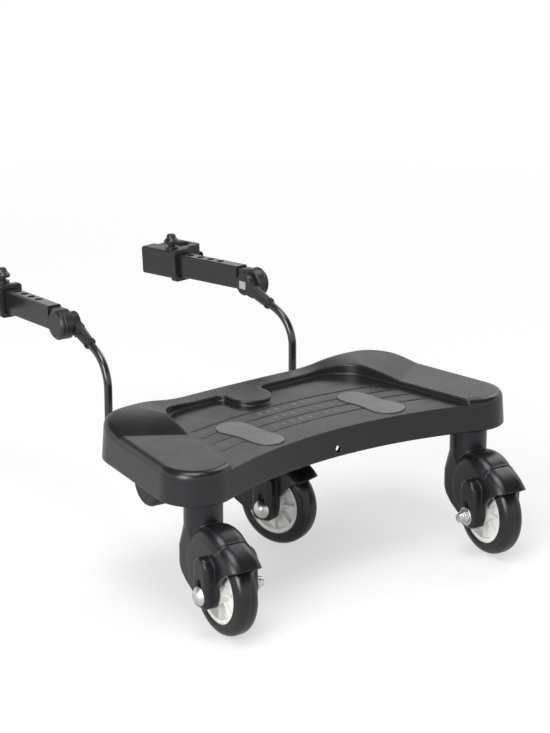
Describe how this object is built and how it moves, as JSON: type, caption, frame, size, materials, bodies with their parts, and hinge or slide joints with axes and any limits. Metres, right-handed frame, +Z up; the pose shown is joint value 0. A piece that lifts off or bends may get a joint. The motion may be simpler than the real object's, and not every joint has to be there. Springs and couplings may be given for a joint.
{
  "type": "buggy board",
  "caption": "Ride-on buggy board: moulded standing deck on swivel casters, with bent rods, folding length-adjustable arms and clamps that grip the legs of a pushchair.",
  "frame": {"origin": "on the floor, under the middle of the bounding box", "axes": "+Y the way the board travels, towards the pushchair; +X to the right of a child who stands on it; +Z up"},
  "size_m": [0.4005, 0.5364, 0.2302],
  "materials": {
    "deck": "satin",
    "pad": "satin",
    "bush": "satin",
    "fork": "satin",
    "steel": "satin",
    "nickel": "gloss",
    "tyre": "satin",
    "rim": "gloss",
    "holder": "matte",
    "rod": "gloss",
    "lever": "satin",
    "button": "gloss",
    "drum": "satin",
    "tube": "gloss",
    "liner": "matte",
    "clamp": "satin",
    "knob": "satin"
  },
  "bodies": {
    "deck": {"deck_shell": "deck", "foot_pad_left": "pad", "rod_left": "rod", "rod_holder_left": "holder", "holder_screw_left_1": "steel", "holder_screw_left_2": "steel", "lever_left": "lever", "foot_pad_right": "pad", "rod_right": "rod", "rod_holder_right": "holder", "holder_screw_right_1": "steel", "holder_screw_right_2": "steel", "lever_right": "lever", "stem_bush_rear_left": "bush", "stem_bush_rear_right": "bush", "stem_bush_front": "bush"},
    "caster_rear_left": {"fork_rear_left": "fork", "kingpin_rear_left": "steel", "axle_bolt_rear_left": "nickel", "axle_nut_rear_left": "nickel"},
    "wheel_rear_left": {"tyre_rear_left": "tyre", "rim_rear_left": "rim", "wheel_bush_rear_left": "bush"},
    "caster_rear_right": {"fork_rear_right": "fork", "kingpin_rear_right": "steel", "axle_bolt_rear_right": "nickel", "axle_nut_rear_right": "nickel"},
    "wheel_rear_right": {"tyre_rear_right": "tyre", "rim_rear_right": "rim", "wheel_bush_rear_right": "bush"},
    "caster_front": {"fork_front": "fork", "kingpin_front": "steel", "axle_bolt_front": "nickel", "axle_nut_front": "nickel"},
    "wheel_front": {"tyre_front": "tyre", "rim_front": "rim", "wheel_bush_front": "bush"},
    "arm_left": {"drum_hub_left": "drum", "drum_cap_left": "drum", "hinge_pin_left": "steel", "arm_tube_left": "tube"},
    "button_left": {"release_button_left": "button"},
    "clamp_left": {"clamp_body_left": "clamp", "clamp_cap_left": "clamp", "clamp_liner_left": "liner", "clamp_screw_left_1": "steel", "clamp_screw_left_2": "steel"},
    "plunger_left": {"plunger_left": "knob"},
    "arm_right": {"drum_hub_right": "drum", "drum_cap_right": "drum", "hinge_pin_right": "steel", "arm_tube_right": "tube"},
    "button_right": {"release_button_right": "button"},
    "clamp_right": {"clamp_body_right": "clamp", "clamp_cap_right": "clamp", "clamp_liner_right": "liner", "clamp_screw_right_1": "steel", "clamp_screw_right_2": "steel"},
    "plunger_right": {"plunger_right": "knob"}
  },
  "joints": [
    {"name": "swivel_rear_left", "type": "hinge", "parent": "deck", "child": "caster_rear_left", "pos_m": [-0.16, -0.18774, 0.1], "axis": [0, 0, 1], "continuous": true},
    {"name": "roll_rear_left", "type": "hinge", "parent": "caster_rear_left", "child": "wheel_rear_left", "pos_m": [-0.16336, -0.22609, 0.042], "axis": [0.9962, -0.0872, 0], "continuous": true},
    {"name": "swivel_rear_right", "type": "hinge", "parent": "deck", "child": "caster_rear_right", "pos_m": [0.16, -0.18774, 0.1], "axis": [0, 0, 1], "continuous": true},
    {"name": "roll_rear_right", "type": "hinge", "parent": "caster_rear_right", "child": "wheel_rear_right", "pos_m": [0.15598, -0.22603, 0.042], "axis": [0.9945, -0.1045, 0], "continuous": true},
    {"name": "swivel_front", "type": "hinge", "parent": "deck", "child": "caster_front", "pos_m": [0, -0.04274, 0.1], "axis": [0, 0, 1], "continuous": true},
    {"name": "roll_front", "type": "hinge", "parent": "caster_front", "child": "wheel_front", "pos_m": [0.01061, -0.07975, 0.042], "axis": [0.9613, 0.2756, 0], "continuous": true},
    {"name": "arm_fold_left", "type": "hinge", "parent": "deck", "child": "arm_left", "pos_m": [-0.10742, 0.09873, 0.20359], "axis": [0.9962, -0.0872, 0], "range_deg": [-45, 110]},
    {"name": "button_press_left", "type": "slide", "parent": "deck", "child": "button_left", "axis": [0.9962, -0.0872, 0], "range_m": [-0.0015, 0], "stiffness_N_per_m": 600, "springref_m": 0.001},
    {"name": "clamp_slide_left", "type": "slide", "parent": "arm_left", "child": "clamp_left", "axis": [0.0869, 0.9938, -0.0698], "range_m": [-0.062, 0]},
    {"name": "plunger_pull_left", "type": "slide", "parent": "clamp_left", "child": "plunger_left", "axis": [0.0061, 0.0695, 0.9976], "range_m": [-0.0038, 0]},
    {"name": "arm_fold_right", "type": "hinge", "parent": "deck", "child": "arm_right", "pos_m": [0.10742, 0.09873, 0.20359], "axis": [0.9962, 0.0872, 0], "range_deg": [-45, 110]},
    {"name": "button_press_right", "type": "slide", "parent": "deck", "child": "button_right", "axis": [-0.9962, -0.0872, 0], "range_m": [-0.0015, 0], "stiffness_N_per_m": 600, "springref_m": 0.001},
    {"name": "clamp_slide_right", "type": "slide", "parent": "arm_right", "child": "clamp_right", "axis": [-0.0869, 0.9938, -0.0698], "range_m": [-0.062, 0]},
    {"name": "plunger_pull_right", "type": "slide", "parent": "clamp_right", "child": "plunger_right", "axis": [-0.0061, 0.0695, 0.9976], "range_m": [-0.0038, 0]}
  ]
}
